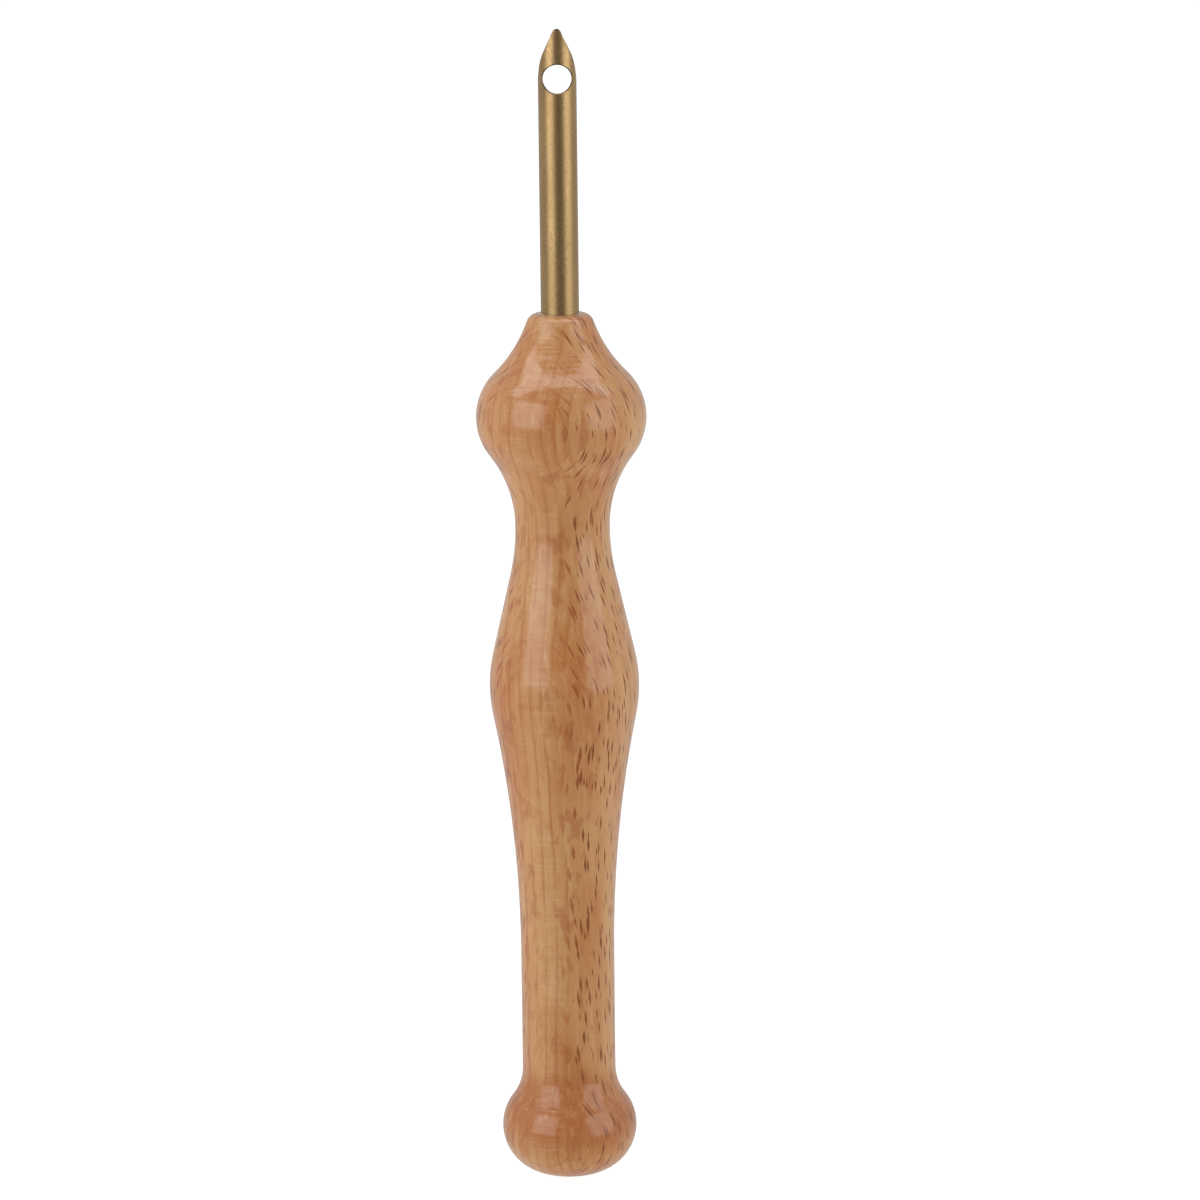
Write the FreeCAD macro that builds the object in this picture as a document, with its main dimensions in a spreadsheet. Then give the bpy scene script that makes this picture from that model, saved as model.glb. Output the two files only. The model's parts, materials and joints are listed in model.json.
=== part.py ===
import FreeCAD, Part
import math
import os
import Sketcher

# Hollow-needle punch tool: a brass tube with a bevelled, eyed nib, bonded into a one-piece turned
# beech handle that is bored right through for the yarn.
# Millimetres. The axis is +Z, the nib points up, the origin is the middle of the handle's butt.
# The eye is in the wall on the -Y side and the bevel opens towards +Y.

DIMENSIONS = {
    # handle outline, from the collar at the top down to the butt
    "handle_length": 128.5,
    "collar_face_radius": 3.3,
    "collar_rim_curve": 1.6,
    "shoulder_curve": 20.2,
    "bulb_radius": 12.3,
    "bulb_height": 113.5,
    "bulb_curve": 8.9,
    "neck_radius": 6.85,
    "neck_height": 97.4,
    "neck_curve": 31.0,
    "swell_radius": 10.9,
    "swell_height": 73.9,
    "swell_curve": 21.5,
    "waist_radius": 6.88,
    "taper_curve": 180.0,
    "knob_fillet_curve": 7.7,
    "knob_radius": 9.92,
    "knob_curve": 7.0,
    # bores in the handle
    "yarn_bore_radius": 2.5,
    "yarn_mouth_curve": 0.4,
    "socket_radius": 2.85,
    "socket_depth": 32.0,
    "socket_countersink": 0.3,
    # brass tube
    "tube_radius": 2.75,
    "tube_wall": 0.5,
    "needle_exposed": 41.0,
    "shank_chamfer": 0.2,
    # nib: the bevel seen from the side, then the blunted tip seen from the front
    "tip_thickness": 0.1,
    "scoop_start_angle": 1.5,
    "scoop_curve": 8.8,
    "bevel_angle": 25.0,
    "tip_curve": 0.6,
    "tip_half_angle": 60.0,
    "eye_radius": 2.05,
    "eye_below_tip": 7.15,
    # adhesive fillet round the foot of the tube
    "meniscus_height": 0.4,
}
CLEARANCE = 1.0  # how far a cutting sketch reaches past the stock

doc = FreeCAD.newDocument("punch_needle")
sheet = doc.addObject("Spreadsheet::Sheet", "dims")
for row, (alias, value) in enumerate(DIMENSIONS.items(), start=1):
    sheet.set("A%d" % row, alias)
    sheet.set("B%d" % row, str(value))
    sheet.setAlias("B%d" % row, alias)
doc.recompute()


def dim(name):
    return DIMENSIONS[name]


def expression(text):
    """Spreadsheet expression in which every driving dimension is read from the sheet."""
    return " ".join("dims.%s" % word if word in DIMENSIONS else word for word in text.split())


def new_body(name):
    body = doc.addObject("PartDesign::Body", name)
    body.Label = name
    return body


def new_sketch(body, name, plane_role):
    sketch = body.newObject("Sketcher::SketchObject", name)
    plane = [item for item in body.Origin.OriginFeatures if item.Role == plane_role][0]
    sketch.AttachmentSupport = (plane, [""])
    sketch.MapMode = "FlatFace"
    return sketch


class Outline:
    """A closed sketch of lines and arcs, each sized by named constraints bound to the sheet."""

    ROOT = (-1, 1)
    START, END, CENTRE = 1, 2, 3

    def __init__(self, sketch):
        self.sketch = sketch

    def line(self, start, end):
        segment = Part.LineSegment(FreeCAD.Vector(*start, 0), FreeCAD.Vector(*end, 0))
        return self.sketch.addGeometry(segment, False)

    def arc(self, centre, radius, first_deg, last_deg):
        circle = Part.Circle(FreeCAD.Vector(*centre, 0), FreeCAD.Vector(0, 0, 1), radius)
        arc = Part.ArcOfCircle(circle, math.radians(first_deg), math.radians(last_deg))
        return self.sketch.addGeometry(arc, False)

    def circle(self, centre, radius):
        circle = Part.Circle(FreeCAD.Vector(*centre, 0), FreeCAD.Vector(0, 0, 1), radius)
        return self.sketch.addGeometry(circle, False)

    def join(self, first, first_end, second, second_end, smooth=False):
        kind = "Tangent" if smooth else "Coincident"
        self.sketch.addConstraint(Sketcher.Constraint(kind, first, first_end, second, second_end))

    def fix(self, kind, *items):
        self.sketch.addConstraint(Sketcher.Constraint(kind, *items))

    def size(self, label, text, kind, *items):
        """One dimension; its value now comes from the drawn geometry, later from the sheet."""
        value = self.measured(kind, items)
        index = self.sketch.addConstraint(Sketcher.Constraint(kind, *items, value))
        self.sketch.renameConstraint(index, label)
        self.sketch.setExpression("Constraints.%s" % label, expression(text))

    def measured(self, kind, items):
        if kind == "Radius":
            return self.sketch.Geometry[items[0]].Radius
        if kind == "Angle":
            return math.radians(dim("bevel_angle"))
        first = self.sketch.getPoint(items[0], items[1])
        second = self.sketch.getPoint(items[2], items[3])
        return second.x - first.x if kind == "DistanceX" else second.y - first.y


def revolved(body, kind, name, sketch):
    feature = body.newObject("PartDesign::%s" % kind, name)
    feature.Profile = sketch
    feature.ReferenceAxis = (sketch, ["V_Axis"])
    feature.Angle = 360
    sketch.Visibility = False
    return feature


def polygon(outline, points):
    """Straight-sided closed loop, returning its line indices in order."""
    lines = [outline.line(points[i], points[(i + 1) % len(points)]) for i in range(len(points))]
    for i, line in enumerate(lines):
        outline.join(line, Outline.END, lines[(i + 1) % len(lines)], Outline.START)
    return lines


def tangent_angle(concave_centre, concave_radius, convex_centre, convex_radius):
    """Direction (degrees) from the upper, concave centre to where the shared crossing tangent leaves it."""
    dx = convex_centre[0] - concave_centre[0]
    dy = convex_centre[1] - concave_centre[1]
    spread = math.acos((concave_radius + convex_radius) / math.hypot(dx, dy))
    return math.degrees(math.atan2(dy, dx) - spread) % 360


def on_circle(centre, radius, angle_deg):
    angle = math.radians(angle_deg)
    return (centre[0] + radius * math.cos(angle), centre[1] + radius * math.sin(angle))


def direction(start, end):
    return math.degrees(math.atan2(end[1] - start[1], end[0] - start[0]))


def leg(hypotenuse, other):
    return math.sqrt(hypotenuse ** 2 - other ** 2)


def outline_start():
    """Where each arc of the handle's outline lies, worked out so that the solver starts close."""
    knob = (dim("knob_radius") - dim("knob_curve"), dim("knob_curve"))
    swell = (dim("swell_radius") - dim("swell_curve"), dim("swell_height"))
    neck = (dim("neck_radius") + dim("neck_curve"), dim("neck_height"))
    bulb = (dim("bulb_radius") - dim("bulb_curve"), dim("bulb_height"))
    rim = (dim("collar_face_radius"), dim("handle_length") - dim("collar_rim_curve"))

    # the hollow above the knob and the long taper both touch the waist and the bead next to them
    fillet_x = dim("waist_radius") + dim("knob_fillet_curve")
    fillet_rise = leg(dim("knob_fillet_curve") + dim("knob_curve"), fillet_x - knob[0])
    taper_x = dim("waist_radius") + dim("taper_curve")
    taper_drop = leg(dim("taper_curve") + dim("swell_curve"), taper_x - swell[0])
    fillet = (fillet_x, knob[1] + fillet_rise)
    taper = (taper_x, swell[1] - taper_drop)

    # the upper neck arc starts upright at the neck and meets the bulb directly
    across = dim("neck_radius") - bulb[0]
    rise = dim("bulb_height") - dim("neck_height")
    upper_curve = (across ** 2 + rise ** 2 - dim("bulb_curve") ** 2) / (2 * (dim("bulb_curve") - across))
    upper = (dim("neck_radius") + upper_curve, dim("neck_height"))

    # the hollow shoulder touches both the bulb and the rim from outside
    to_rim = dim("shoulder_curve") + dim("collar_rim_curve")
    to_bulb = dim("shoulder_curve") + dim("bulb_curve")
    span = math.hypot(bulb[0] - rim[0], bulb[1] - rim[1])
    along = (to_rim ** 2 - to_bulb ** 2 + span ** 2) / (2 * span)
    off = leg(to_rim, along)
    unit = ((bulb[0] - rim[0]) / span, (bulb[1] - rim[1]) / span)
    shoulder = (rim[0] + along * unit[0] - off * unit[1], rim[1] + along * unit[1] + off * unit[0])
    return {"knob": knob, "fillet": fillet, "taper": taper, "swell": swell, "neck": neck,
            "upper": upper, "upper_curve": upper_curve, "bulb": bulb, "rim": rim, "shoulder": shoulder}


def handle_outline(sketch):
    """Half section of the turned outside, drawn from the axis at the butt round to the collar."""
    at = outline_start()
    out = Outline(sketch)
    start, end, centre = Outline.START, Outline.END, Outline.CENTRE
    length = dim("handle_length")
    knob_angle = direction(at["knob"], at["fillet"])
    taper_angle = direction(at["swell"], at["taper"])
    neck_angle = tangent_angle(at["neck"], dim("neck_curve"), at["swell"], dim("swell_curve"))
    upper_angle = direction(at["upper"], at["bulb"]) % 360
    bulb_angle = direction(at["bulb"], at["shoulder"])
    rim_angle = direction(at["rim"], at["shoulder"])

    butt = out.line((0, 0), (at["knob"][0], 0))
    knob = out.arc(at["knob"], dim("knob_curve"), -90, knob_angle)
    fillet = out.arc(at["fillet"], dim("knob_fillet_curve"), 180, knob_angle + 180)
    waist = out.line((dim("waist_radius"), at["fillet"][1]), (dim("waist_radius"), at["taper"][1]))
    taper = out.arc(at["taper"], dim("taper_curve"), taper_angle + 180, 180)
    swell = out.arc(at["swell"], dim("swell_curve"), taper_angle, neck_angle - 180)
    swell_top = on_circle(at["swell"], dim("swell_curve"), neck_angle - 180)
    neck_foot = on_circle(at["neck"], dim("neck_curve"), neck_angle)
    flank = out.line(swell_top, neck_foot)
    neck = out.arc(at["neck"], dim("neck_curve"), 180, neck_angle)
    upper = out.arc(at["upper"], at["upper_curve"], upper_angle, 180)
    bulb = out.arc(at["bulb"], dim("bulb_curve"), upper_angle - 180, bulb_angle)
    shoulder = out.arc(at["shoulder"], dim("shoulder_curve"), rim_angle + 180, bulb_angle + 180)
    rim = out.arc(at["rim"], dim("collar_rim_curve"), rim_angle, 90)
    collar = out.line((dim("collar_face_radius"), length), (0, length))
    axis = out.line((0, length), (0, 0))

    smooth_joints = [
        (butt, end, knob, start), (knob, end, fillet, end),
        (fillet, start, waist, start), (waist, end, taper, end), (taper, start, swell, start),
        (swell, end, flank, start), (flank, end, neck, end),
        (neck, start, upper, end), (upper, start, bulb, start), (bulb, end, shoulder, end),
        (shoulder, start, rim, start), (rim, end, collar, start),
    ]
    for joint in smooth_joints:
        out.join(*joint, smooth=True)
    out.join(collar, end, axis, start)
    out.join(axis, end, butt, start)
    out.join(butt, start, *Outline.ROOT)
    out.fix("Horizontal", butt)
    out.fix("Horizontal", collar)
    out.fix("Vertical", axis)
    out.fix("Vertical", waist)
    out.fix("Horizontal", neck, centre, upper, centre)

    root = Outline.ROOT
    out.size("length", "handle_length", "DistanceY", axis, end, axis, start)
    out.size("knob_curve", "knob_curve", "Radius", knob)
    out.size("knob_across", "knob_radius - knob_curve", "DistanceX", *root, knob, centre)
    out.size("fillet_curve", "knob_fillet_curve", "Radius", fillet)
    out.size("waist_across", "waist_radius", "DistanceX", *root, waist, start)
    out.size("taper_curve", "taper_curve", "Radius", taper)
    out.size("swell_curve", "swell_curve", "Radius", swell)
    out.size("swell_across", "swell_curve - swell_radius", "DistanceX", swell, centre, *root)
    out.size("swell_rise", "swell_height", "DistanceY", *root, swell, centre)
    out.size("neck_curve", "neck_curve", "Radius", neck)
    out.size("neck_across", "neck_radius + neck_curve", "DistanceX", *root, neck, centre)
    out.size("neck_rise", "neck_height", "DistanceY", *root, neck, centre)
    out.size("bulb_curve", "bulb_curve", "Radius", bulb)
    out.size("bulb_across", "bulb_radius - bulb_curve", "DistanceX", *root, bulb, centre)
    out.size("bulb_rise", "bulb_height", "DistanceY", *root, bulb, centre)
    out.size("shoulder_curve", "shoulder_curve", "Radius", shoulder)
    out.size("rim_curve", "collar_rim_curve", "Radius", rim)
    out.size("rim_across", "collar_face_radius", "DistanceX", *root, rim, centre)


def handle_bores(sketch):
    """Half section of what is bored out: yarn bore, rounded mouth, needle socket, countersink."""
    out = Outline(sketch)
    start, end, centre = Outline.START, Outline.END, Outline.CENTRE
    root = Outline.ROOT
    length, bore, socket = dim("handle_length"), dim("yarn_bore_radius"), dim("socket_radius")
    seat = length - dim("socket_depth")
    mouth, sink = dim("yarn_mouth_curve"), dim("socket_countersink")

    butt = out.line((0, 0), (bore + mouth, 0))
    lip = out.arc((bore + mouth, mouth), mouth, 180, 270)
    wall = out.line((bore, mouth), (bore, seat))
    step = out.line((bore, seat), (socket, seat))
    socket_wall = out.line((socket, seat), (socket, length - sink))
    cone = out.line((socket, length - sink), (socket + sink, length))
    top = out.line((socket + sink, length), (0, length))
    axis = out.line((0, length), (0, 0))

    out.join(butt, end, lip, end)
    out.join(lip, start, wall, start, smooth=True)
    chain = [wall, step, socket_wall, cone, top, axis, butt]
    for first, second in zip(chain, chain[1:]):
        out.join(first, end, second, start)
    out.join(butt, start, *root)
    for line in (butt, step, top):
        out.fix("Horizontal", line)
    for line in (wall, socket_wall, axis):
        out.fix("Vertical", line)
    out.fix("Vertical", butt, end, lip, centre)

    out.size("length", "handle_length", "DistanceY", axis, end, axis, start)
    out.size("bore", "yarn_bore_radius", "DistanceX", *root, wall, start)
    out.size("lip", "yarn_mouth_curve", "Radius", lip)
    out.size("socket", "socket_radius", "DistanceX", *root, socket_wall, start)
    out.size("depth", "socket_depth", "DistanceY", step, end, top, end)
    out.size("sink_height", "socket_countersink", "DistanceY", cone, start, cone, end)
    out.size("sink_width", "socket_countersink", "DistanceX", cone, start, cone, end)


def make_handle():
    body = new_body("handle")
    outside = new_sketch(body, "turned_outline", "XZ_Plane")
    handle_outline(outside)
    revolved(body, "Revolution", "turning", outside)
    inside = new_sketch(body, "bore_section", "XZ_Plane")
    handle_bores(inside)
    revolved(body, "Groove", "boring", inside)
    return body


def tube_section(sketch):
    """Half section of the tube, with its lower outside edge eased so that it starts in the socket."""
    out = Outline(sketch)
    start, end = Outline.START, Outline.END
    inner = dim("tube_radius") - dim("tube_wall")
    ease, length = dim("shank_chamfer"), dim("socket_depth") + dim("needle_exposed")
    points = [(inner, 0), (dim("tube_radius") - ease, 0), (dim("tube_radius"), ease),
              (dim("tube_radius"), length), (inner, length)]
    foot, bevel, outside, top, inside = polygon(out, points)
    for line in (foot, top):
        out.fix("Horizontal", line)
    for line in (outside, inside):
        out.fix("Vertical", line)
    root = Outline.ROOT
    out.fix("PointOnObject", foot, start, -1)
    out.size("inner", "tube_radius - tube_wall", "DistanceX", *root, foot, start)
    out.size("outer", "tube_radius", "DistanceX", *root, outside, start)
    out.size("ease_height", "shank_chamfer", "DistanceY", bevel, start, bevel, end)
    out.size("ease_width", "shank_chamfer", "DistanceX", bevel, start, bevel, end)
    out.size("length", "socket_depth + needle_exposed", "DistanceY", inside, end, inside, start)


def bevel_section(sketch):
    """Side view of what is ground off the nib: a hollow scoop at the tip running into a flat bevel."""
    out = Outline(sketch)
    start, end, centre = Outline.START, Outline.END, Outline.CENTRE
    root = Outline.ROOT
    length = dim("socket_depth") + dim("needle_exposed")
    first, last, curve = dim("scoop_start_angle"), dim("bevel_angle"), dim("scoop_curve")
    tip = (-dim("tube_radius") + dim("tip_thickness"), length)
    middle = on_circle(tip, curve, first)
    scoop_end = on_circle(middle, curve, 180 + last)
    far = dim("tube_radius") + CLEARANCE
    bevel_drop = (far - scoop_end[0]) / math.tan(math.radians(last))

    scoop = out.arc(middle, curve, 180 + first, 180 + last)
    bevel = out.line(scoop_end, (far, scoop_end[1] - bevel_drop))
    side = out.line((far, scoop_end[1] - bevel_drop), (far, length + CLEARANCE))
    top = out.line((far, length + CLEARANCE), (tip[0], length + CLEARANCE))
    back = out.line((tip[0], length + CLEARANCE), tip)
    out.join(scoop, end, bevel, start, smooth=True)
    for before, after in ((bevel, side), (side, top), (top, back)):
        out.join(before, end, after, start)
    out.join(back, end, scoop, start)
    out.fix("Vertical", side)
    out.fix("Vertical", back)
    out.fix("Horizontal", top)

    total = "socket_depth + needle_exposed"
    out.size("scoop_curve", "scoop_curve", "Radius", scoop)
    out.size("tip_across", "tube_radius - tip_thickness", "DistanceX", scoop, start, *root)
    out.size("tip_rise", total, "DistanceY", *root, scoop, start)
    out.size("scoop_rise", total + " + scoop_curve * sin( scoop_start_angle * 1 deg )",
             "DistanceY", *root, scoop, centre)
    out.size("bevel_slope", "bevel_angle * 1 deg", "Angle", side, start, bevel, end)
    out.size("side_across", "tube_radius + %g" % CLEARANCE, "DistanceX", *root, side, start)
    out.size("top_rise", total + " + %g" % CLEARANCE, "DistanceY", *root, top, start)


def tip_section(sketch):
    """Front view of what is filed off the tip to blunt it: all that lies outside a rounded point."""
    out = Outline(sketch)
    start, end, centre = Outline.START, Outline.END, Outline.CENTRE
    root = Outline.ROOT
    length = dim("socket_depth") + dim("needle_exposed")
    curve, half = dim("tip_curve"), dim("tip_half_angle")
    middle = (0, length - curve)
    far = dim("tube_radius") + CLEARANCE
    right = on_circle(middle, curve, 90 - half)
    left = on_circle(middle, curve, 90 + half)
    drop = (far - right[0]) / math.tan(math.radians(90 - half))

    nose = out.arc(middle, curve, 90 - half, 90 + half)
    left_slope = out.line(left, (-far, left[1] - drop))
    left_side = out.line((-far, left[1] - drop), (-far, length + CLEARANCE))
    top = out.line((-far, length + CLEARANCE), (far, length + CLEARANCE))
    right_side = out.line((far, length + CLEARANCE), (far, right[1] - drop))
    right_slope = out.line((far, right[1] - drop), right)
    out.join(nose, end, left_slope, start, smooth=True)
    straights = (left_slope, left_side, top, right_side, right_slope)
    for before, after in zip(straights, straights[1:]):
        out.join(before, end, after, start)
    out.join(right_slope, end, nose, start, smooth=True)
    out.fix("Vertical", left_side)
    out.fix("Vertical", right_side)
    out.fix("Horizontal", top)
    out.fix("PointOnObject", nose, centre, -2)
    out.fix("Horizontal", nose, start, nose, end)

    total = "socket_depth + needle_exposed"
    out.size("nose_curve", "tip_curve", "Radius", nose)
    out.size("nose_rise", total + " - tip_curve", "DistanceY", *root, nose, centre)
    half_width = "tip_curve * sin( tip_half_angle * 1 deg )"
    out.size("nose_across", half_width, "DistanceX", nose, centre, nose, start)
    out.size("right_across", "tube_radius + %g" % CLEARANCE, "DistanceX", *root, right_side, start)
    out.size("left_across", "tube_radius + %g" % CLEARANCE, "DistanceX", left_side, start, *root)
    out.size("top_rise", total + " + %g" % CLEARANCE, "DistanceY", *root, top, start)


def eye_section(sketch):
    out = Outline(sketch)
    rise = dim("socket_depth") + dim("needle_exposed") - dim("eye_below_tip")
    eye = out.circle((0, rise), dim("eye_radius"))
    out.fix("PointOnObject", eye, Outline.CENTRE, -2)
    out.size("eye", "eye_radius", "Radius", eye)
    out.size("eye_rise", "socket_depth + needle_exposed - eye_below_tip",
             "DistanceY", *Outline.ROOT, eye, Outline.CENTRE)


def pocket(body, name, sketch, both_ways):
    feature = body.newObject("PartDesign::Pocket", name)
    feature.Profile = sketch
    feature.Midplane = both_ways
    feature.Reversed = not both_ways
    reach = "tube_radius + %g" % CLEARANCE
    feature.setExpression("Length", expression("( %s ) * 2" % reach if both_ways else reach))
    sketch.Visibility = False
    return feature


def make_needle():
    """Brass tube, modelled with its lower end at the body's own origin."""
    body = new_body("needle")
    body.setExpression("Placement.Base.z", expression("handle_length - socket_depth"))
    section = new_sketch(body, "tube_section", "XZ_Plane")
    tube_section(section)
    revolved(body, "Revolution", "tube", section)
    side = new_sketch(body, "bevel_side_view", "YZ_Plane")
    bevel_section(side)
    pocket(body, "bevel", side, True)
    front = new_sketch(body, "tip_front_view", "XZ_Plane")
    tip_section(front)
    pocket(body, "blunting", front, True)
    eye = new_sketch(body, "eye_front_view", "XZ_Plane")
    eye_section(eye)
    pocket(body, "eye", eye, False)
    return body


def adhesive_section(sketch):
    """Half section of the bond: sleeve in the socket, filled countersink, bead round the tube's foot."""
    out = Outline(sketch)
    start, end = Outline.START, Outline.END
    root = Outline.ROOT
    tube, socket, depth = dim("tube_radius"), dim("socket_radius"), dim("socket_depth")
    sink, ease = dim("socket_countersink"), dim("shank_chamfer")
    bead = depth + dim("meniscus_height")
    points = [(tube, ease), (socket, ease), (socket, depth - sink), (socket + sink, depth), (tube, bead)]
    foot, outside, cone, slope, inside = polygon(out, points)
    out.fix("Horizontal", foot)
    out.fix("Vertical", outside)
    out.fix("Vertical", inside)
    out.size("foot_rise", "shank_chamfer", "DistanceY", *root, foot, start)
    out.size("inner", "tube_radius", "DistanceX", *root, foot, start)
    out.size("outer", "socket_radius", "DistanceX", *root, outside, start)
    out.size("mouth_rise", "socket_depth", "DistanceY", *root, cone, end)
    out.size("sink_height", "socket_countersink", "DistanceY", cone, start, cone, end)
    out.size("sink_width", "socket_countersink", "DistanceX", cone, start, cone, end)
    out.size("bead_height", "meniscus_height", "DistanceY", slope, start, slope, end)


def make_adhesive():
    """Adhesive between tube and socket, with its lower end level with the top of the tube's chamfer."""
    body = new_body("adhesive_sleeve")
    body.setExpression("Placement.Base.z", expression("handle_length - socket_depth"))
    section = new_sketch(body, "bond_section", "XZ_Plane")
    adhesive_section(section)
    revolved(body, "Revolution", "bond", section)
    return body


def check_objects():
    for item in doc.Objects:
        if "Invalid" in item.State or "Error" in item.State:
            raise RuntimeError("%s did not compute: %s" % (item.Name, item.State))
    for sketch in doc.findObjects("Sketcher::SketchObject"):
        if not sketch.FullyConstrained:
            raise RuntimeError("%s is not fully constrained" % sketch.Name)


def check_cuts(body):
    """Every cut must take material off, and every body must end as one valid solid."""
    volumes = [item.Shape.Volume for item in body.Group if item.isDerivedFrom("PartDesign::Feature")]
    for before, after in zip(volumes, volumes[1:]):
        if after >= before:
            raise RuntimeError("a cut in %s removed nothing: %s" % (body.Name, volumes))
    if body.Shape.isNull() or not body.Shape.isValid() or len(body.Shape.Solids) != 1:
        raise RuntimeError("%s is not one valid solid" % body.Name)


bodies = [make_handle(), make_needle(), make_adhesive()]
doc.recompute()
check_objects()
os.makedirs("parts", exist_ok=True)
for body in bodies:
    check_cuts(body)
    body.Shape.exportStep("parts/%s.step" % body.Label)
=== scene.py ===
import bmesh
import bpy
import json
import math
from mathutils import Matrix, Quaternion, Vector, noise


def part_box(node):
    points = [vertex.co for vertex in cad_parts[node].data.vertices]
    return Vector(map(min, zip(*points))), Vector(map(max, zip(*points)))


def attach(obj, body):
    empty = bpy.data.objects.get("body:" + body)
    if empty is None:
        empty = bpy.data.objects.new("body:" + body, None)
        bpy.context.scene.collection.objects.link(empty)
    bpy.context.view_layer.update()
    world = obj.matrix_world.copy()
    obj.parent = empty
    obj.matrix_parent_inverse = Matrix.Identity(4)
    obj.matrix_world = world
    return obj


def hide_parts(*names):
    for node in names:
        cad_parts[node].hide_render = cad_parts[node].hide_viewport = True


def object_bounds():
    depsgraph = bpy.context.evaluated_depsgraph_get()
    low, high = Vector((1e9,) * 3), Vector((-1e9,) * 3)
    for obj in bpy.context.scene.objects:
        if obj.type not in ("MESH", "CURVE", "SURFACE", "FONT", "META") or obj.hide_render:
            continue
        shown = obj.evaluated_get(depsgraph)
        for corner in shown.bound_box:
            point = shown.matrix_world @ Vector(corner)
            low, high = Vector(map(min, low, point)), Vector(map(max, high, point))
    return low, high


# Hollow-needle punch tool standing on its butt: a turned, lacquered beech handle and a satin brass tube.
# Metres, +Z up, in the CAD's own frame; materials work in millimetres.
# Angles called "side" are turned from the -Y side, where the camera stands, towards +X.

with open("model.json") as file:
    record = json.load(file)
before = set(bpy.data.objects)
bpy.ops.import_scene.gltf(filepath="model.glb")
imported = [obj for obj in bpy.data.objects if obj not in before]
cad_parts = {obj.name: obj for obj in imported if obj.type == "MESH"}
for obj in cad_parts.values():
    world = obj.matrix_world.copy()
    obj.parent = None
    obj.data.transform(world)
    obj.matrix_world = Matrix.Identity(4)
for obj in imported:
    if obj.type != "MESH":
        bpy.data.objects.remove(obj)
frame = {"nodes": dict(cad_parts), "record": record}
cad_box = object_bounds()
MM = 0.001
LOW, HIGH = cad_box
HEIGHT = HIGH.z - LOW.z


# ---------------------------------------------------------------- frame

def frame_mount(name):
    return next(mount for mount in frame["record"]["mounts"] if mount["name"] == name)


def frame_radius(name):
    return frame_mount(name)["dims"]["r_mm"] * MM


# ---------------------------------------------------------------- meshes

def sides(count):
    """Evenly spaced angles, once round."""
    turn = 2 * math.pi / count
    return [turn * i for i in range(count)]


def polar(radius, side, z):
    return (radius * math.sin(side), -radius * math.cos(side), z)


def add_mesh(name, points, faces, *materials):
    mesh = bpy.data.meshes.new(name)
    mesh.from_pydata(points, [], faces)
    mesh.validate()
    for material in materials:
        mesh.materials.append(material)
    piece = bpy.data.objects.new(name, mesh)
    bpy.context.scene.collection.objects.link(piece)
    return piece


def shell(name, loops, *materials, closed=True):
    """Joins rings of points, all of one length, into a skin; if closed, the last ring meets the first."""
    count = len(loops[0])
    points = [point for loop in loops for point in loop]
    faces = []
    for k in range(len(loops) if closed else len(loops) - 1):
        here, there = k * count, ((k + 1) % len(loops)) * count
        for i in range(count):
            j = (i + 1) % count
            faces.append((here + i, here + j, there + j, there + i))
    return add_mesh(name, points, faces, *materials)


def turn_faces_out(piece, triangles=False):
    """Closes open ends and points every face outwards."""
    work = bmesh.new()
    work.from_mesh(piece.data)
    bmesh.ops.holes_fill(work, edges=work.edges)
    if triangles:
        bmesh.ops.triangulate(work, faces=work.faces)
    bmesh.ops.recalc_face_normals(work, faces=work.faces)
    work.to_mesh(piece.data)
    work.free()


def finish_piece(piece, node, sharp_deg):
    """Outward faces, smooth shading, and what the frame needs to know of a piece that stands for a node."""
    turn_faces_out(piece)
    piece.data.shade_smooth()
    piece.data.set_sharp_from_angle(angle=math.radians(sharp_deg))
    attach(piece, "root")
    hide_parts(node)
    return piece


# ---------------------------------------------------------------- handle

HANDLE_SIDES = 192
HANDLE_STEP = 0.4 * MM
HANDLE_GAP = 0.2 * MM  # points of the CAD outline that lie closer together than this count as one
LIP_CLEARANCE = 0.01 * MM
HANDLE_SHARP_DEG = 40


def turned_rings(node):
    """Rings of a turned node's mesh: {height: sorted radii}."""
    rings = {}
    for vertex in frame["nodes"][node].data.vertices:
        height = round(vertex.co.z, 7)
        rings.setdefault(height, set()).add(round(math.hypot(vertex.co.x, vertex.co.y), 6))
    return {height: sorted(radii) for height, radii in sorted(rings.items())}


def smooth_chain(chain, step):
    """A smooth curve through the chain's points, as points about one step apart."""
    out = []
    for k in range(len(chain) - 1):
        before = Vector(chain[max(k - 1, 0)])
        here, there = Vector(chain[k]), Vector(chain[k + 1])
        after = Vector(chain[min(k + 2, len(chain) - 1)])
        span = (there - here).length
        leave = (there - before).normalized() * span
        arrive = (after - here).normalized() * span
        parts = max(1, round(span / step))
        for n in range(parts):
            t = n / parts
            point = here * (2 * t**3 - 3 * t**2 + 1) + leave * (t**3 - 2 * t**2 + t)
            point += there * (3 * t**2 - 2 * t**3) + arrive * (t**3 - t**2)
            out.append(tuple(point))
    out.append(tuple(chain[-1]))
    return out


def thinned(chain, gap):
    """The chain without points closer together than gap, its two ends kept."""
    kept = [chain[0]]
    for point in chain[1:-1]:
        if (Vector(point) - Vector(kept[-1])).length >= gap:
            kept.append(point)
    return kept + [chain[-1]]


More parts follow.
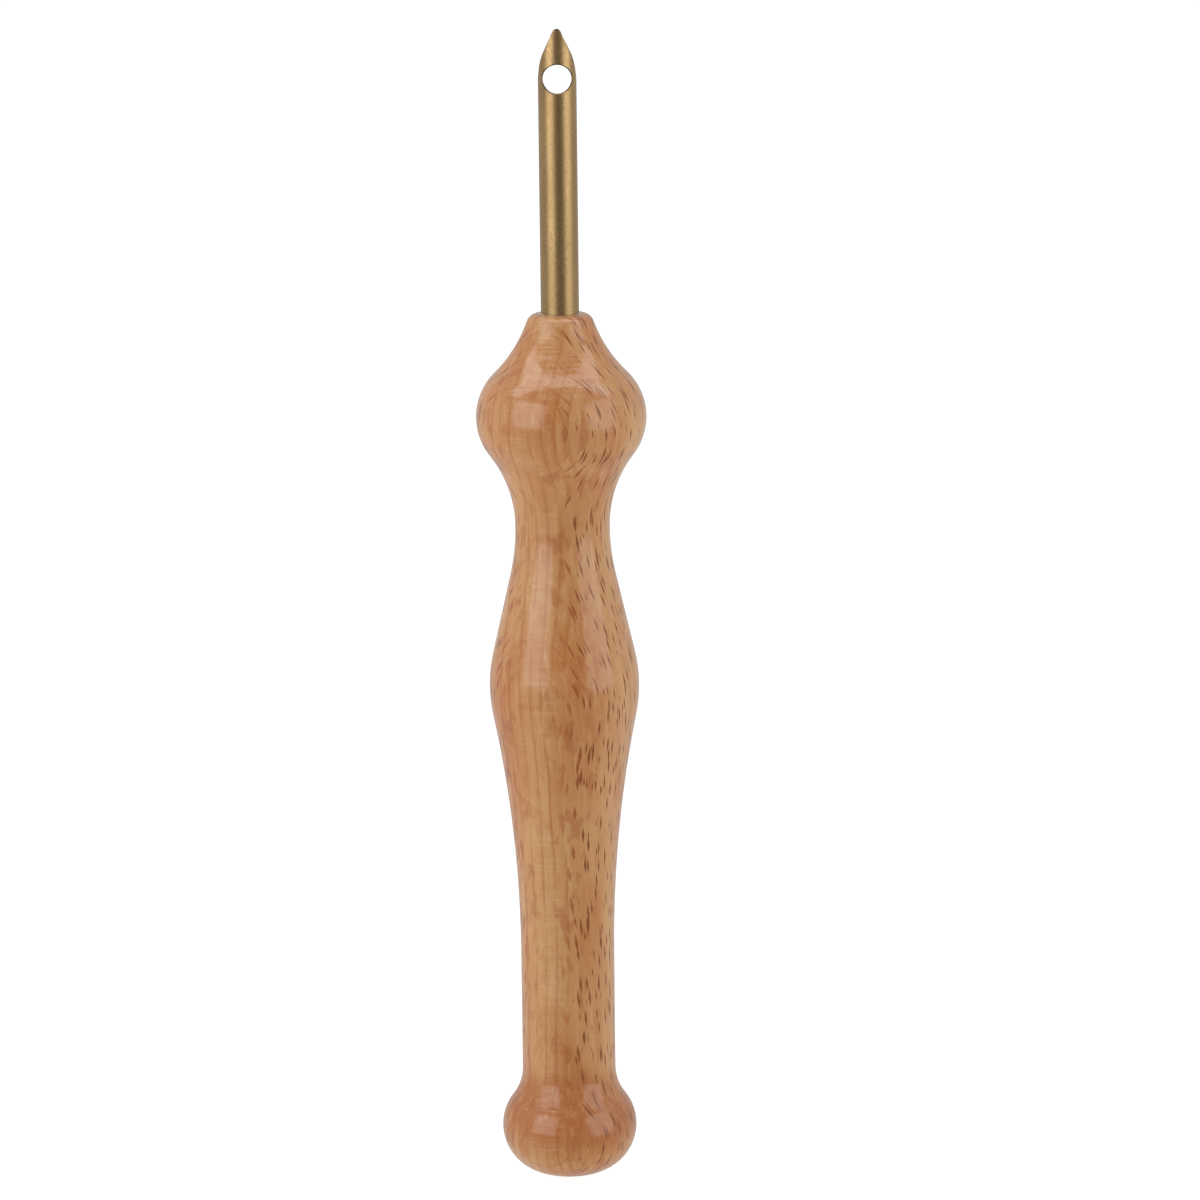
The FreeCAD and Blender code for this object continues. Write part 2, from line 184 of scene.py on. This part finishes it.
def make_handle(material):
    """The turned outline read from the CAD handle, made finer, with the yarn bore and the tube's socket."""
    rings = turned_rings("handle")
    top = max(rings)
    mouth = rings[0.0][0]  # where the rounded mouth of the yarn bore meets the butt
    inside = mouth - LIP_CLEARANCE
    outer = [(max(radii), z) for z, radii in rings.items() if max(radii) > inside]
    inner = [(r, z) for z, radii in rings.items() for r in radii if r < inside]
    outer = smooth_chain(thinned(outer, HANDLE_GAP), HANDLE_STEP)
    chain = outer + [(min(rings[top]), top)] + inner[::-1] + [(mouth, 0.0)]
    loops = [[polar(r, side, z) for side in sides(HANDLE_SIDES)] for r, z in chain]
    piece = shell("beech_handle", loops, material)
    return finish_piece(piece, "handle", HANDLE_SHARP_DEG)


# ---------------------------------------------------------------- needle

NEEDLE_SIDES = 256
NEEDLE_ROWS = 72
NEEDLE_SHARP_DEG = 35
FOOT_EDGE = 0.05 * MM
NIB_EDGE = 0.18 * MM
WALL_STEPS = (0.1, 0.3, 0.5, 0.7, 0.9)
NIB_MARGIN = MM  # the nib's rings start this far down the plain tube, and its nose this far above the eye
X, Y = 0, 1
SQUARE_ON = 0.03  # a face's normal counts as square to an axis below this, and as leaning above the next
LEANING = 0.02

EYE_SIDES = 96
EYE_LIP = 0.14 * MM
EYE_DEPTH = 0.3  # the drill stops this far short of the tube's axis, as a share of the bore's radius
EYE_RUN_OUT = MM


def ground_profile(across, square, lowest):
    """Heights against one coordinate along those ground faces of the nib that are square to the other."""
    mesh = frame["nodes"]["needle"].data
    heights = {}
    for face in mesh.polygons:
        faces_across = abs(face.normal[square]) < SQUARE_ON and abs(face.normal[across]) > LEANING
        if faces_across and face.normal.z > LEANING and face.center.z > lowest:
            for index in face.vertices:
                place = mesh.vertices[index].co
                heights[round(place[across], 6)] = place.z
    return sorted(heights.items())


def height_at(profile, value, before):
    """Height on a profile's straight pieces: "before" below its first point, and run on past its last."""
    if value < profile[0][0]:
        return before
    k = 1
    while k < len(profile) - 1 and profile[k][0] < value:
        k += 1
    (v0, h0), (v1, h1) = profile[k - 1], profile[k]
    return h0 + (h1 - h0) * (value - v0) / (v1 - v0)


def nib_shape(lowest, tip):
    """The CAD needle's nib as a function that gives the wall's heights all the way round at one radius."""
    eye_top = frame_mount("eye")["pos_m"][2] + frame_radius("eye")
    bevel = ground_profile(Y, X, lowest)
    nose = [(x, z) for x, z in ground_profile(X, Y, eye_top + NIB_MARGIN) if x >= 0]

    def heights(radius):
        places = [polar(radius, side, 0) for side in sides(NEEDLE_SIDES)]
        return [min(height_at(bevel, y, tip), height_at(nose, abs(x), tip)) for x, y, _ in places]

    return heights


def below_rim(heights, radius):
    """Heights that stay one NIB_EDGE below these, measured along the outer wall and square to the rim."""
    run = 2 * radius * 2 * math.pi / NEEDLE_SIDES
    lower = []
    for i, height in enumerate(heights):
        slope = (heights[(i + 1) % NEEDLE_SIDES] - heights[i - 1]) / run
        lower.append(height - NIB_EDGE * math.hypot(1, slope))
    return lower


def tube_ring(radius, heights):
    return [polar(radius, side, z) for side, z in zip(sides(NEEDLE_SIDES), heights)]


def climb(radius, start, heights, rows):
    """Rings up one side of the wall, from level at start to the nib's heights."""
    return [tube_ring(radius, [start + (z - start) * t for z in heights]) for t in rows]


def make_needle(material, cut_material):
    """The tube again with finer faces and a narrow dull edge round its nib and eye, where it was cut."""
    low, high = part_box("needle")
    radius, bore = high.x, frame_radius("needle_bore")
    wall = radius - bore
    shaft = frame_mount("needle_shaft")
    plain = shaft["pos_m"][2] + shaft["dims"]["length_mm"] * MM / 2  # a height just below the bevel's foot
    start = plain - NIB_MARGIN
    nib = nib_shape(plain, high.z)
    rows = [n / NEEDLE_ROWS for n in range(NEEDLE_ROWS + 1)]
    foot, above_foot = [low.z] * NEEDLE_SIDES, [low.z + FOOT_EDGE] * NEEDLE_SIDES

    loops = [tube_ring(radius - FOOT_EDGE, foot), tube_ring(radius, above_foot)]
    loops += climb(radius, start, below_rim(nib(radius), radius), rows)
    first_cut = (len(loops) - 1) * NEEDLE_SIDES
    loops += [tube_ring(radius - wall * t, nib(radius - wall * t)) for t in WALL_STEPS]
    last_cut = (len(loops) + 1) * NEEDLE_SIDES
    loops += climb(bore, start, nib(bore), rows[::-1])
    loops.append(tube_ring(bore, foot))

    piece = shell("brass_needle", loops, material, cut_material)
    for face in piece.data.polygons:
        face.material_index = int(min(face.vertices) >= first_cut and max(face.vertices) < last_cut)
    drill_eye(piece, radius, bore)
    return finish_piece(piece, "needle", NEEDLE_SHARP_DEG)


def make_drill(radius, bore, materials):
    """A drill from the -Y side that flares as it leaves the wall, so that it takes the rim off evenly."""
    eye, height = frame_radius("eye"), frame_mount("eye")["pos_m"][2]
    wide = eye + 2 * EYE_LIP

    def ring(r, depth):
        places = [(r * math.cos(angle), r * math.sin(angle)) for angle in sides(EYE_SIDES)]
        return [(x, depth(x), height + z) for x, z in places]

    def surface(x):
        return -math.sqrt(radius**2 - x**2)

    loops = [ring(eye, lambda x: -EYE_DEPTH * bore), ring(eye, lambda x: surface(x) + EYE_LIP)]
    loops += [ring(wide, lambda x: surface(x) - EYE_LIP), ring(wide, lambda x: -radius - EYE_RUN_OUT)]
    drill = shell("drill", loops, *materials, closed=False)
    turn_faces_out(drill, triangles=True)
    for face in drill.data.polygons:
        face.material_index = 1
    return drill


def drill_eye(piece, radius, bore):
    """Drills the eye through the near wall; what the drill leaves gets the piece's second material."""
    turn_faces_out(piece)
    drill = make_drill(radius, bore, piece.data.materials)
    cut = piece.modifiers.new("eye", "BOOLEAN")
    cut.object = drill
    cut.operation = "DIFFERENCE"
    cut.solver = "EXACT"
    piece.data = bpy.data.meshes.new_from_object(piece.evaluated_get(bpy.context.evaluated_depsgraph_get()))
    piece.modifiers.clear()
    bpy.data.objects.remove(drill)


# ---------------------------------------------------------------- adhesive

BEAD_SIDES = 160
SLEEVE_SHARE = 1 / 4  # the sleeve's thickness as a share of the bead's width
BEAD_SHARP_DEG = 60
BEAD_SEED = Vector((3.1, 7.4, 1.7))
BEAD_WAVE = 1.6  # more makes the bead change faster round the tube
BEAD_TALL = 0.45  # usual height, and how far it wanders, as shares of the CAD bead's height
BEAD_TALL_UNEVEN = 0.3
BEAD_WIDE_UNEVEN = 0.06 * MM
BEAD_TOE = 0.02 * MM
BEAD_STEPS = (0.85, 0.6, 0.3)  # places between the tube, 0, and the bead's outer edge, 1
BEAD_HOLLOW = 1.5  # above 1, the bead's slope is hollow
MOUND_SIDE = math.radians(-62)
MOUND_HALF = math.radians(13)
MOUND_WIDE = 0.3 * MM
MOUND_TALL = 0.3
MOUND_BULGE = 0.35


def mound(side):
    """1 at the middle of the mound where the adhesive was wiped off, falling to 0 away from it."""
    off = (side - MOUND_SIDE + math.pi) % (2 * math.pi) - math.pi
    return math.exp(-((off / MOUND_HALF) ** 2))


def make_adhesive(material):
    """The thin sleeve of set adhesive, with an uneven bead round the tube's foot."""
    low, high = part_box("adhesive_sleeve")
    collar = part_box("handle")[1].z
    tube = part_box("needle")[1].x
    rim = high.x
    sleeve = tube + (rim - tube) * SLEEVE_SHARE
    full = high.z - collar
    columns = []
    for side in sides(BEAD_SIDES):
        wobble = noise.noise(Vector(polar(BEAD_WAVE, side, 0)) + BEAD_SEED)
        tall = full * (BEAD_TALL + BEAD_TALL_UNEVEN * wobble + MOUND_TALL * mound(side))
        wide = rim + BEAD_WIDE_UNEVEN * wobble + MOUND_WIDE * mound(side)
        column = [(tube, low.z), (sleeve, low.z), (sleeve, collar - (rim - sleeve)), (rim, collar)]
        column.append((wide, collar + BEAD_TOE))
        for t in BEAD_STEPS:
            bulge = tall * (1 - t) ** BEAD_HOLLOW + tall * MOUND_BULGE * mound(side) * math.sin(math.pi * t)
            column.append((wide + (tube - wide) * (1 - t), collar + min(bulge, full)))
        column.append((tube, collar + tall))
        columns.append([polar(r, side, z) for r, z in column])
    loops = [list(loop) for loop in zip(*columns)]
    piece = shell("adhesive_bead", loops, material)
    return finish_piece(piece, "adhesive_sleeve", BEAD_SHARP_DEG)


# ---------------------------------------------------------------- node trees

class Tree:
    """Short spelling for a material's nodes."""

    def __init__(self, name):
        self.material = bpy.data.materials.new(name)
        self.material.use_nodes = True
        self.links = self.material.node_tree.links
        self.nodes = self.material.node_tree.nodes
        self.nodes.clear()

    def node(self, kind, inputs, output=0, **settings):
        made = self.nodes.new("ShaderNode" + kind)
        for key, value in settings.items():
            setattr(made, key, value)
        for key, value in inputs.items():
            if isinstance(value, bpy.types.NodeSocket):
                self.links.new(value, made.inputs[key])
            else:
                made.inputs[key].default_value = value
        return made.outputs[output]

    def math(self, operation, *values):
        return self.node("Math", dict(enumerate(values)), operation=operation)

    def add(self, a, b):
        return self.math("ADD", a, b)

    def times(self, a, b):
        return self.math("MULTIPLY", a, b)

    def step(self, value, low, high, to_low=0.0, to_high=1.0):
        """Smooth step of a value from to_low at low to to_high at high."""
        inputs = {"Value": value, "From Min": low, "From Max": high, "To Min": to_low, "To Max": to_high}
        return self.node("MapRange", inputs, interpolation_type="SMOOTHSTEP")

    def band(self, value, start, full, fade, end):
        """1 from full to fade, running out to 0 at start and end."""
        return self.times(self.step(value, start, full), self.step(value, fade, end, 1.0, 0.0))

    def along(self, vector, direction):
        return self.node("VectorMath", {0: vector, 1: direction}, output=1, operation="DOT_PRODUCT")

    def level_radius(self, vector):
        """Distance from the upright axis."""
        flat = self.stretch(vector, (1.0, 1.0, 0.0))
        return self.node("VectorMath", {0: flat}, output=1, operation="LENGTH")

    def stretch(self, vector, amounts):
        return self.node("VectorMath", {0: vector, 1: amounts}, operation="MULTIPLY")

    def vector(self, x, y, z):
        return self.node("CombineXYZ", {0: x, 1: y, 2: z})

    def noise(self, vector, scale, detail=2.0, roughness=0.5):
        inputs = {"Vector": vector, "Scale": scale, "Detail": detail, "Roughness": roughness}
        return self.node("TexNoise", inputs)

    def wander(self, vector, scale, amount):
        """Noise round zero, so that it bends a place by up to half the amount either way."""
        return self.times(self.add(self.noise(vector, scale), -0.5), amount)

    def axes(self, coordinates, rates):
        """The place given by three separate coordinates, each multiplied by its own rate of change."""
        return self.vector(*[self.times(value, rate) for value, rate in zip(coordinates, rates)])

    def mix(self, factor, a, b):
        inputs = {0: factor, 6: a, 7: b}
        return self.node("Mix", inputs, output=2, data_type="RGBA")

    def bump(self, height, strength, distance):
        return self.node("Bump", {"Strength": strength, "Distance": distance, "Height": height})

    def output(self, surface):
        out = self.nodes.new("ShaderNodeOutputMaterial")
        self.links.new(surface, out.inputs["Surface"])
        return self.material

    def position_mm(self):
        place = self.node("TexCoord", {}, output=3)
        return self.node("VectorMath", {0: place, 3: 1 / MM}, operation="SCALE")


# ---------------------------------------------------------------- beech

def level(side_deg):
    """The level direction that points this far round from the -Y side."""
    return polar(1.0, math.radians(side_deg), 0.0)


TREE_SIDE_DEG = 62
TREE_OUT = level(TREE_SIDE_DEG)  # the tree's radius, from its heart outwards
TREE_ROUND = level(TREE_SIDE_DEG + 90)
HIGHLIGHT_SIDE = level(-23)  # the side the left softbox's highlight falls on; the marks of turning are strongest here, and their pale colour is partly a painted highlight
GRAIN_TILT = math.tan(math.radians(5.5))  # the grain leans this much off the handle's axis
BEND_OUT = 3.0  # how far the grain wanders, in millimetres
BEND_ROUND = 2.4
BEND_ELSEWHERE = (7.3, 2.1, 5.5)  # keeps the two wanderings apart
RING_WIDTH = 1.65
RING_WAVER = 0.6
RING_LINE = (0.55, 0.92, 0.92, 1.0)  # band of the line, as shares of the ring
BUTT_REDDENING = (4.5, 9.5, 12.0, 18.5)  # band of heights above the butt where the wood is drawn warmer and redder
OBLIQUE_AND_SHADE = (0.15, 0.45, 0.60, 0.92)  # band of "facing": 0 square to the tree's radius, 1 facing along it; the wood is warmer here, partly for the grain and partly as painted shade on the -Y side
RAY_LAYERS = ((0.0, 0.88, 8.0), (11.3, 0.78, 6.6))  # shift, width and height of the cells that flecks lie in
RAY_SKEW = 1.7  # the shift upwards over the shift round, which keeps the layers' cells from lining up
RAY_SPREAD = 0.8  # how many times a fleck's size changes from one cell to the next
RAY_SIZE = (-0.02, 0.215)  # none and widest, as shares of a cell
RAY_EDGE = 0.025

# Rates of change out, round and along the tree, per millimetre
GRAIN_BEND = (0.06, 0.06, 0.020)
RING_WAVE = (0.9, 0.9, 0.16)
PATCHES = (0.09, 0.13, 0.030)
STREAKS = (1.1, 1.3, 0.055)
BLOTCHES = (0.55, 0.95, 0.28)
FIBRES = (7.0, 7.0, 0.35)
SCRATCHES = (0.10, 0.10, 4.2)
WEAR = (0.14, 0.14, 0.12)
RIPPLES = (1.1, 1.1, 0.5)

BEECH_TAN = (0.560, 0.300, 0.120, 1)
BEECH_WARM = (0.470, 0.185, 0.054, 1)
BEECH_RED = (0.360, 0.100, 0.022, 1)
BEECH_RAY = (0.215, 0.060, 0.007, 1)
BEECH_PALE = (0.650, 0.395, 0.180, 1)

WOOD_BUMP = 0.03 * MM
LACQUER_BUMP = 0.05 * MM


def toward(t, direction):
    """1 where the turned surface faces this level direction, 0 where it stands square to it."""
    p = t.position_mm()
    return t.math("DIVIDE", t.along(p, direction), t.level_radius(p))


def tree_axes(t):
    """Out, round and along the tree in millimetres, bent the way that grain wanders."""
    p = t.position_mm()
    slow = t.stretch(p, GRAIN_BEND)
    elsewhere = t.node("VectorMath", {0: slow, 1: BEND_ELSEWHERE}, operation="ADD")
    along = t.along(p, (0.0, 0.0, 1.0))
    out = t.add(t.along(p, TREE_OUT), t.wander(slow, 1.0, BEND_OUT))
    around = t.add(t.along(p, TREE_ROUND), t.wander(elsewhere, 1.3, BEND_ROUND))
    return out, t.add(around, t.times(along, GRAIN_TILT)), along


def ring_lines(t, tree, facing):
    """A thin darker line where each year's growth stops, fading inwards."""
    out, _, along = tree
    wavy = t.add(out, t.wander(t.axes(tree, RING_WAVE), 1.0, RING_WAVER))
    year = t.times(wavy, 1 / RING_WIDTH)
    line = t.band(t.math("FRACT", year), *RING_LINE)
    patchy = t.noise(t.vector(t.math("FLOOR", year), 3.3, t.times(along, 0.11)), 1.0)
    line = t.times(line, t.step(patchy, 0.32, 0.62, 0.15, 1.0))
    return t.times(line, t.step(facing, 0.45, 0.85, 0.50, 0.12))


def ray_layer(t, tree, shift, wide, tall):
    """Lens-shaped ends of the rays, which are thin upright sheets that run out along the tree's radius."""
    out, around, along = tree
    across = t.add(t.times(around, 1 / wide), shift)
    up = t.add(t.times(along, 1 / tall), shift * RAY_SKEW)
    place = t.vector(across, up, 0.0)
    inputs = {"Vector": place, "Scale": 1.0, "Randomness": 0.9}
    distance = t.node("TexVoronoi", inputs, distance="MANHATTAN", voronoi_dimensions="2D")
    deep = t.add(t.times(out, 0.12), shift)
    spread = t.vector(t.times(around, RAY_SPREAD / wide), t.times(along, RAY_SPREAD / tall), deep)
    size = t.step(t.noise(spread, 1.0, 1.0), 0.22, 0.60, *RAY_SIZE)
    return t.step(t.math("SUBTRACT", size, distance), 0.0, RAY_EDGE)


def ray_flecks(t, tree, facing):
    """Both layers of ray ends, strongest where the surface faces along the rays."""
    flecks = t.math("MAXIMUM", *[ray_layer(t, tree, *layer) for layer in RAY_LAYERS])
    return t.times(flecks, t.step(facing, 0.25, 0.70, 0.15, 1.0))


def ground_colour(t, tree, facing):
    """Tan wood with large warm patches, a warmer and redder band above the butt, warmer where the surface
    faces partway along the tree's radius (partly painted shade on the -Y side), and pale streaks.
    """
    patch = t.noise(t.axes(tree, PATCHES), 1.0, 3.0)
    # Partly painted shade: warmer and darker where the surface faces partway along the tree's radius, which
    # takes in the -Y side.
    oblique_and_shade = t.band(facing, *OBLIQUE_AND_SHADE)
    butt = t.band(tree[2], *BUTT_REDDENING)
    warmth = t.add(t.step(patch, 0.38, 0.68, 0.0, 0.9), t.add(t.times(oblique_and_shade, 0.22), t.times(butt, 0.7)))
    colour = t.mix(t.math("MINIMUM", warmth, 1.0), BEECH_TAN, BEECH_WARM)
    colour = t.mix(t.times(butt, 0.48), colour, BEECH_RED)
    streak = t.noise(t.axes(tree, STREAKS), 1.0, 3.0)
    return t.mix(t.step(streak, 0.46, 0.74, 0.0, 0.35), colour, BEECH_PALE)


def red_blotches(t, tree, facing):
    """Small reddish blotches, fewer where the surface shows plain rings or nothing but rays."""
    blotch = t.step(t.noise(t.axes(tree, BLOTCHES), 1.0), 0.54, 0.66, 0.0, 0.48)
    between = t.times(t.step(facing, 0.0, 0.35, 0.35, 1.0), t.step(facing, 0.75, 0.95, 1.0, 0.45))
    return t.times(blotch, between)


def turning_marks_and_glints(t, tree):
    """Fine scratches round the handle, in worn patches and mostly on the side where the left softbox's
    highlight falls, where their pale colour is partly a painted highlight.
    """
    scratch = t.step(t.noise(t.axes(tree, SCRATCHES), 1.0, 1.0, 0.6), 0.54, 0.64)
    worn = t.step(t.noise(t.axes(tree, WEAR), 1.0), 0.36, 0.54)
    return t.times(t.times(scratch, worn), t.step(toward(t, HIGHLIGHT_SIDE), 0.93, 0.985, 0.25, 1.0))


def make_beech():
    """Solid beech under a coat of lacquer that dips where the wood does and keeps the marks of turning,
    whose pale colour is partly a painted highlight.
    """
    t = Tree("lacquered_beech")
    tree = tree_axes(t)
    facing = t.math("ABSOLUTE", toward(t, TREE_OUT))
    flecks = ray_flecks(t, tree, facing)
    fibre = t.noise(t.axes(tree, FIBRES), 1.0, 3.0, 0.6)
    marks_and_glints = turning_marks_and_glints(t, tree)

    colour = ground_colour(t, tree, facing)
    colour = t.mix(ring_lines(t, tree, facing), colour, BEECH_RED)
    colour = t.mix(red_blotches(t, tree, facing), colour, BEECH_RED)
    colour = t.mix(flecks, colour, t.mix(t.step(facing, 0.45, 0.80), BEECH_RED, BEECH_RAY))
    colour = t.mix(t.step(fibre, 0.35, 0.7, 0.0, 0.22), colour, BEECH_RED)
    # Partly painted highlight: the marks of turning drawn pale, most of all where the left softbox's
    # highlight falls.
    colour = t.mix(t.times(marks_and_glints, 0.17), colour, BEECH_PALE)

    wood = t.add(t.times(fibre, 0.4), t.times(flecks, -1.0))
    ripple = t.noise(t.axes(tree, RIPPLES), 1.0, 1.0)
    film = t.add(t.add(t.times(wood, 0.30), t.times(marks_and_glints, 3.5)), t.times(ripple, 0.9))
    surface = t.node("BsdfPrincipled", {
        "Base Color": colour,
        "Roughness": 0.5,
        "Specular IOR Level": 0.15,
        "Coat Weight": 0.85,
        "Coat Roughness": 0.12,
        "Coat IOR": 1.5,
        "Sheen Weight": 0.06,
        "Sheen Roughness": 0.35,
        "Normal": t.bump(wood, 0.35, WOOD_BUMP),
        "Coat Normal": t.bump(film, 0.40, LACQUER_BUMP),
    })
    return t.output(surface)


# ---------------------------------------------------------------- brass

BRASS_CLEAN = (0.520, 0.345, 0.155, 1)
BRASS_DULL = (0.370, 0.232, 0.098, 1)
BRASS_SPECK = (0.080, 0.048, 0.022, 1)
BRASS_CUT = (0.170, 0.100, 0.045, 1)

# Rates of change per millimetre
GRIT = 3.4
CLOUDS = (0.5, 0.5, 0.12)
DRAWN_LINES = (5.0, 5.0, 0.22)
SPECKS = 1.3
SPECK_PLACES = 0.8

BRASS_BUMP = 0.04 * MM


def make_brass(name, clean, dull):
    """Satin brass: fine sandy grain, faint lines drawn along the tube, clouding and a few dark specks."""
    t = Tree(name)
    p = t.position_mm()
    grit = t.noise(p, GRIT, 3.0, 0.75)
    cloud = t.noise(t.stretch(p, CLOUDS), 1.0, 3.0)
    drawn = t.noise(t.stretch(p, DRAWN_LINES), 1.0, 3.0, 0.6)
    cells = t.node("TexVoronoi", {"Vector": p, "Scale": SPECKS})
    specks = t.times(t.step(cells, 0.05, 0.10, 1.0, 0.0), t.step(t.noise(p, SPECK_PLACES), 0.48, 0.56))

    colour = t.mix(t.step(cloud, 0.35, 0.7, 0.0, 0.5), clean, dull)
    colour = t.mix(t.step(grit, 0.42, 0.66, 0.0, 0.95), colour, dull)
    colour = t.mix(specks, colour, BRASS_SPECK)
    rough = t.add(0.26, t.times(t.add(t.times(grit, 0.7), t.times(drawn, 0.3)), 0.20))
    height = t.add(t.times(grit, 0.65), t.times(drawn, 0.35))
    surface = t.node("BsdfPrincipled", {
        "Base Color": colour,
        "Metallic": 1.0,
        "Roughness": rough,
        "Coat Weight": 0.3,
        "Coat Roughness": 0.3,
        "Normal": t.bump(height, 0.5, BRASS_BUMP),
    })
    return t.output(surface)


# ---------------------------------------------------------------- adhesive's material

ADHESIVE_DEEP = (0.46, 0.24, 0.11, 1)
ADHESIVE_PALE = (0.62, 0.40, 0.22, 1)
# Painted shade for the crease against the tube
ADHESIVE_SHADE = (0.070, 0.030, 0.012, 1)
SHADE_LINE = (0.09, 0.21)  # millimetres off the tube over which the painted shade fades: still dark here, no longer dark there


def make_adhesive_material():
    """Clear set adhesive over beech, with painted shade: a dark line where it meets the tube."""
    t = Tree("clear_set_adhesive")
    p = t.position_mm()
    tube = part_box("needle")[1].x / MM
    cloudy = t.noise(p, 1.2, 3.0)
    colour = t.mix(t.step(cloudy, 0.35, 0.7), ADHESIVE_DEEP, ADHESIVE_PALE)
    # Painted shade: the crease where the bead meets the tube is drawn dark.
    crease_shade = t.step(t.level_radius(p), tube + SHADE_LINE[0], tube + SHADE_LINE[1], 0.9, 0.0)
    colour = t.mix(crease_shade, colour, ADHESIVE_SHADE)
    surface = t.node("BsdfPrincipled", {
        "Base Color": colour,
        "Roughness": t.add(0.08, t.times(cloudy, 0.12)),
        "Coat Weight": 0.6,
        "Coat Roughness": 0.05,
    })
    return t.output(surface)


# ---------------------------------------------------------------- stage

FLOOR_HALF = 8.0
BACKDROP_DISTANCE = 7.0
BACKDROP_SIDES = 48
FLOOR_GLOW = 0.94
BACKDROP_GLOW = 1.0


def make_paper(name, glow):
    """Pale matt paper that is lit from behind."""
    t = Tree(name)
    faint = t.noise(t.position_mm(), 0.004, 2.0)
    surface = t.node("BsdfPrincipled", {
        "Base Color": t.mix(faint, (0.20, 0.20, 0.20, 1), (0.24, 0.24, 0.24, 1)),
        "Roughness": 1.0,
        "Specular IOR Level": 0.0,
        "Emission Color": (1, 1, 1, 1),
        "Emission Strength": glow,
    })
    return t.output(surface)


def make_floor():
    corners = [(x * FLOOR_HALF, y * FLOOR_HALF, LOW.z) for x, y in ((-1, -1), (1, -1), (1, 1), (-1, 1))]
    floor = add_mesh("floor", corners, [(0, 1, 2, 3)], make_paper("pale_floor", FLOOR_GLOW))
    floor.visible_glossy = False
    floor.visible_shadow = False


def make_backdrop():
    """A pale wall all round, far off, which only the camera sees."""
    heights = (LOW.z, 2 * BACKDROP_DISTANCE)
    loops = [[polar(BACKDROP_DISTANCE, side, z) for side in sides(BACKDROP_SIDES)] for z in heights]
    backdrop = shell("backdrop", loops, make_paper("pale_backdrop", BACKDROP_GLOW), closed=False)
    backdrop.visible_glossy = False
    backdrop.visible_diffuse = False
    backdrop.visible_shadow = False
    backdrop.visible_transmission = False


LIGHT_DISTANCE = 5.0 * HEIGHT
# Each light: side, elevation, width and height, all in degrees, and brightness against white
REFLECTED_LIGHTS = {
    "left_softbox": (-46, 17, 44, 44, 2.5),
    "right_softbox": (58, 15, 44, 46, 1.8),
    "overhead_softbox": (0, 88, 104, 26, 3.0),
}
SHADING_LIGHTS = {
    "left_fill": (-82, 22, 50, 50, 1.75),
    "right_fill": (78, 22, 50, 50, 1.0),
    "overhead_fill": (0, 70, 60, 40, 1.5),
}


def make_light(name, side, rise, wide, tall, brightness):
    middle = Vector((0, 0, LOW.z + HEIGHT / 2))
    light = bpy.data.lights.new(name, "AREA")
    light.shape = "RECTANGLE"
    light.size = 2 * LIGHT_DISTANCE * math.tan(math.radians(wide / 2))
    light.size_y = 2 * LIGHT_DISTANCE * math.tan(math.radians(tall / 2))
    light.energy = brightness * math.pi * light.size * light.size_y
    lamp = bpy.data.objects.new(name, light)
    bpy.context.scene.collection.objects.link(lamp)
    out = LIGHT_DISTANCE * math.cos(math.radians(rise))
    up = LIGHT_DISTANCE * math.sin(math.radians(rise))
    lamp.location = middle + Vector(polar(out, math.radians(side), up))
    lamp.rotation_euler = (middle - lamp.location).to_track_quat("-Z", "Y").to_euler()
    lamp.visible_camera = False
    return lamp


def make_lights():
    """Softboxes that the lacquer and brass mirror, and broader ones that light the colours."""
    for name, values in REFLECTED_LIGHTS.items():
        make_light(name, *values).visible_diffuse = False
    for name, values in SHADING_LIGHTS.items():
        make_light(name, *values).visible_glossy = False


# The room's brightness over its Y coordinate, which runs from -1 on the camera's side to 1
WORLD_SHADE = {"From Min": -0.75, "From Max": 0.25, "To Min": 0.18, "To Max": 0.55}


def make_world():
    """A dim studio, darkest on the camera's side."""
    world = bpy.data.worlds.new("studio")
    world.use_nodes = True
    nodes, links = world.node_tree.nodes, world.node_tree.links
    place = nodes.new("ShaderNodeTexCoord")
    split = nodes.new("ShaderNodeSeparateXYZ")
    shade = nodes.new("ShaderNodeMapRange")
    shade.interpolation_type = "SMOOTHSTEP"
    for socket, value in WORLD_SHADE.items():
        shade.inputs[socket].default_value = value
    links.new(place.outputs["Generated"], split.inputs["Vector"])
    links.new(split.outputs["Y"], shade.inputs["Value"])
    links.new(shade.outputs["Result"], nodes["Background"].inputs["Strength"])
    nodes["Background"].inputs["Color"].default_value = (1, 1, 1, 1)
    bpy.context.scene.world = world


SENSOR_MM = 36.0
LENS_MM = 148.5
CAMERA_RISE = math.radians(12)
CAMERA_ROLL = math.radians(-0.61)
CAMERA_DISTANCE = 4.242 * HEIGHT
CAMERA_ASIDE = 0.0313 * HEIGHT
CAMERA_AIM = 0.5097 * HEIGHT


def make_camera():
    """A long lens a little above the tool, looking at it from the -Y side."""
    data = bpy.data.cameras.new("camera")
    data.sensor_width = SENSOR_MM
    data.lens = LENS_MM
    data.clip_start = 0.01
    data.clip_end = 100.0
    camera = bpy.data.objects.new("camera", data)
    bpy.context.scene.collection.objects.link(camera)
    aim = Vector((CAMERA_ASIDE, 0, LOW.z + CAMERA_AIM))
    back = Vector((0, -math.cos(CAMERA_RISE), math.sin(CAMERA_RISE)))
    camera.location = aim + back * CAMERA_DISTANCE
    turn = (-back).to_track_quat("-Z", "Y") @ Quaternion((0, 0, 1), CAMERA_ROLL)
    camera.rotation_euler = turn.to_euler()
    bpy.context.scene.camera = camera


make_handle(make_beech())
make_adhesive(make_adhesive_material())
make_needle(make_brass("satin_brass", BRASS_CLEAN, BRASS_DULL),
            make_brass("cut_brass", BRASS_CUT, BRASS_SPECK))
make_floor()
make_backdrop()
make_lights()
make_world()
make_camera()
bpy.context.scene.view_settings.view_transform = "Standard"
